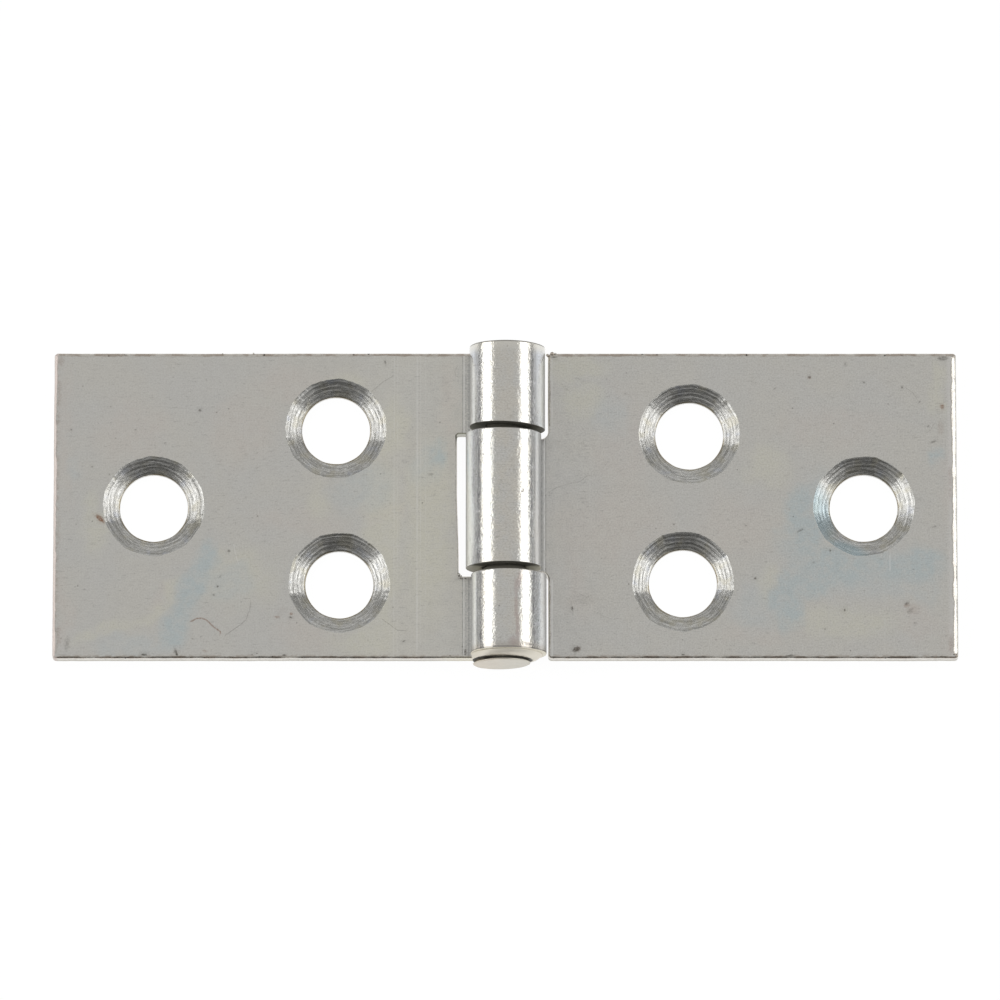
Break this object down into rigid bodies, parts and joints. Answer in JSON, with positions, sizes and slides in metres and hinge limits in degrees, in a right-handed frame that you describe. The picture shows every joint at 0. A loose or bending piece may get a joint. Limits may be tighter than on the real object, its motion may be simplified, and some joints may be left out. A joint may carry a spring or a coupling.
{
  "type": "back flap hinge",
  "caption": "Small zinc plated steel back flap hinge: wide flat leaves with rolled knuckles on a loose wire pin and countersunk screw holes.",
  "frame": {"origin": "on the back plane of the open leaves, under the middle of the pin", "axes": "+X from the pin across the one-knuckle leaf, +Y along the pin away from its mushroomed end, +Z out of the countersunk faces"},
  "size_m": [0.073, 0.026, 0.0061],
  "materials": {
    "plated_sheet": "satin zinc plate, lightly mottled and scratched",
    "plated_pin": "zinc plated wire with matt upset ends"
  },
  "bodies": {
    "pin_leaf": {"two_knuckle_leaf": "plated_sheet", "hinge_pin": "plated_pin"},
    "swinging_leaf": {"one_knuckle_leaf": "plated_sheet"}
  },
  "joints": [
    {"name": "leaf_swing", "type": "hinge", "parent": "pin_leaf", "child": "swinging_leaf", "pos_m": [0, 0, 0.00305], "axis": [0, -1, 0], "range_deg": [-95, 185]}
  ]
}
